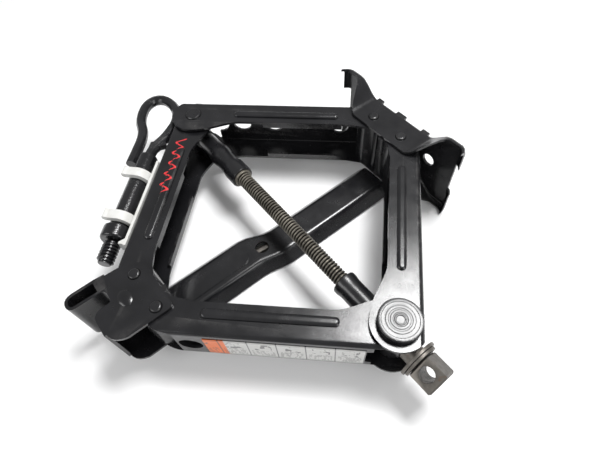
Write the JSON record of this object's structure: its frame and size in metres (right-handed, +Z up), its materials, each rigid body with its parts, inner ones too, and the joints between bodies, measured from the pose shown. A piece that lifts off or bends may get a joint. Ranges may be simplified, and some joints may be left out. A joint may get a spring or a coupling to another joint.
{
  "type": "car scissor jack",
  "caption": "Scissor car jack on its side with lead screw, U-channel arms, flared foot, slotted saddle, a clipped towing eye and a stowed wheel wrench.",
  "frame": {"origin": "centre of the foot's outer face, on the mid-plane between the arm plates", "axes": "+Y out of the foot's sole, so the saddle is towards -Y; +X along the lead screw towards its drive head; +Z up off the floor the jack lies on"},
  "size_m": [0.3981, 0.3367, 0.0904],
  "materials": {
    "gloss_black_steel": "pressed steel with a gloss black electrocoat",
    "satin_black_steel": "satin black paint over turned or forged steel",
    "forged_black": "black painted forging with a softly rough skin",
    "plated_steel": "dark phosphated steel with worn bright edges",
    "greased_screw": "rolled steel thread under brown grease",
    "white_nylon": "moulded white nylon",
    "printed_label": "printed adhesive foil"
  },
  "bodies": {
    "base": {"base_foot": "gloss_black_steel", "base_pin_nut": "satin_black_steel", "base_pin_drive": "satin_black_steel"},
    "base_arm_nut": {"base_arm_nut": "gloss_black_steel"},
    "base_arm_drive": {"base_arm_drive": "gloss_black_steel"},
    "saddle_arm_nut": {"saddle_arm_nut": "gloss_black_steel", "towing_eye_holder": "white_nylon"},
    "saddle_arm_drive": {"saddle_arm_drive": "gloss_black_steel", "instruction_label": "printed_label"},
    "saddle": {"saddle_bracket": "gloss_black_steel", "saddle_pin_nut": "satin_black_steel", "saddle_pin_drive": "satin_black_steel"},
    "nut_end": {"nut_trunnion": "satin_black_steel", "nut_sleeve": "satin_black_steel", "lead_nut": "greased_screw", "nut_pivot_washer_near": "satin_black_steel", "nut_pivot_washer_far": "satin_black_steel"},
    "drive_end": {"drive_trunnion": "satin_black_steel", "drive_sleeve": "satin_black_steel", "drive_pivot_head_near": "satin_black_steel", "drive_pivot_head_far": "satin_black_steel", "drive_pivot_washer_near": "satin_black_steel", "drive_pivot_washer_far": "satin_black_steel", "thrust_spacer": "plated_steel", "thrust_washer_1": "plated_steel", "thrust_washer_2": "plated_steel"},
    "screw": {"lead_screw": "greased_screw", "drive_head": "plated_steel"},
    "towing_eye": {"towing_eye_hook": "forged_black", "towing_eye_shank": "forged_black", "towing_eye_collar": "forged_black", "towing_eye_thread": "forged_black"},
    "wheel_wrench": {"wrench_handle": "gloss_black_steel", "wrench_rod": "satin_black_steel", "wrench_pin": "satin_black_steel"}
  },
  "joints": [
    {"name": "fold", "type": "hinge", "parent": "base", "child": "base_arm_nut", "pos_m": [-0.018, -0.02176, 0], "axis": [0, 0, 1], "range_deg": [-21, 15]},
    {"name": "fold_base_drive", "type": "hinge", "parent": "base", "child": "base_arm_drive", "pos_m": [0.018, -0.02176, 0], "axis": [0, 0, 1], "range_deg": [-15, 21]},
    {"name": "nut_elbow", "type": "hinge", "parent": "base_arm_nut", "child": "saddle_arm_nut", "pos_m": [-0.14277, -0.1515, 0], "axis": [0, 0, 1], "range_deg": [-30, 42]},
    {"name": "drive_elbow", "type": "hinge", "parent": "base_arm_drive", "child": "saddle_arm_drive", "pos_m": [0.14277, -0.1515, 0], "axis": [0, 0, 1], "range_deg": [-42, 30]},
    {"name": "saddle_pivot", "type": "hinge", "parent": "saddle_arm_nut", "child": "saddle", "pos_m": [-0.018, -0.28124, 0], "axis": [0, 0, 1], "range_deg": [-21, 15]},
    {"name": "nut_trunnion_pivot", "type": "hinge", "parent": "base_arm_nut", "child": "nut_end", "pos_m": [-0.14277, -0.1515, 0], "axis": [0, 0, 1], "range_deg": [-15, 21]},
    {"name": "drive_trunnion_pivot", "type": "hinge", "parent": "base_arm_drive", "child": "drive_end", "pos_m": [0.14277, -0.1515, 0], "axis": [0, 0, 1], "range_deg": [-21, 15]},
    {"name": "screw_turn", "type": "hinge", "parent": "drive_end", "child": "screw", "pos_m": [0.14277, -0.1515, 0], "axis": [1, 0, 0], "continuous": true},
    {"name": "towing_eye_unclip", "type": "slide", "parent": "saddle_arm_nut", "child": "towing_eye", "axis": [-0.7208, -0.6932, 0], "range_m": [0, 0.03]},
    {"name": "wheel_wrench_pull", "type": "slide", "parent": "base", "child": "wheel_wrench", "axis": [0, -1, 0], "range_m": [0, 0.06]}
  ],
  "couplings": [
    {"joint": "fold_base_drive", "follows": "fold", "ratio": -1},
    {"joint": "nut_elbow", "follows": "fold", "ratio": -2},
    {"joint": "drive_elbow", "follows": "fold", "ratio": 2},
    {"joint": "saddle_pivot", "follows": "fold", "ratio": 1},
    {"joint": "nut_trunnion_pivot", "follows": "fold", "ratio": -1},
    {"joint": "drive_trunnion_pivot", "follows": "fold", "ratio": 1}
  ]
}
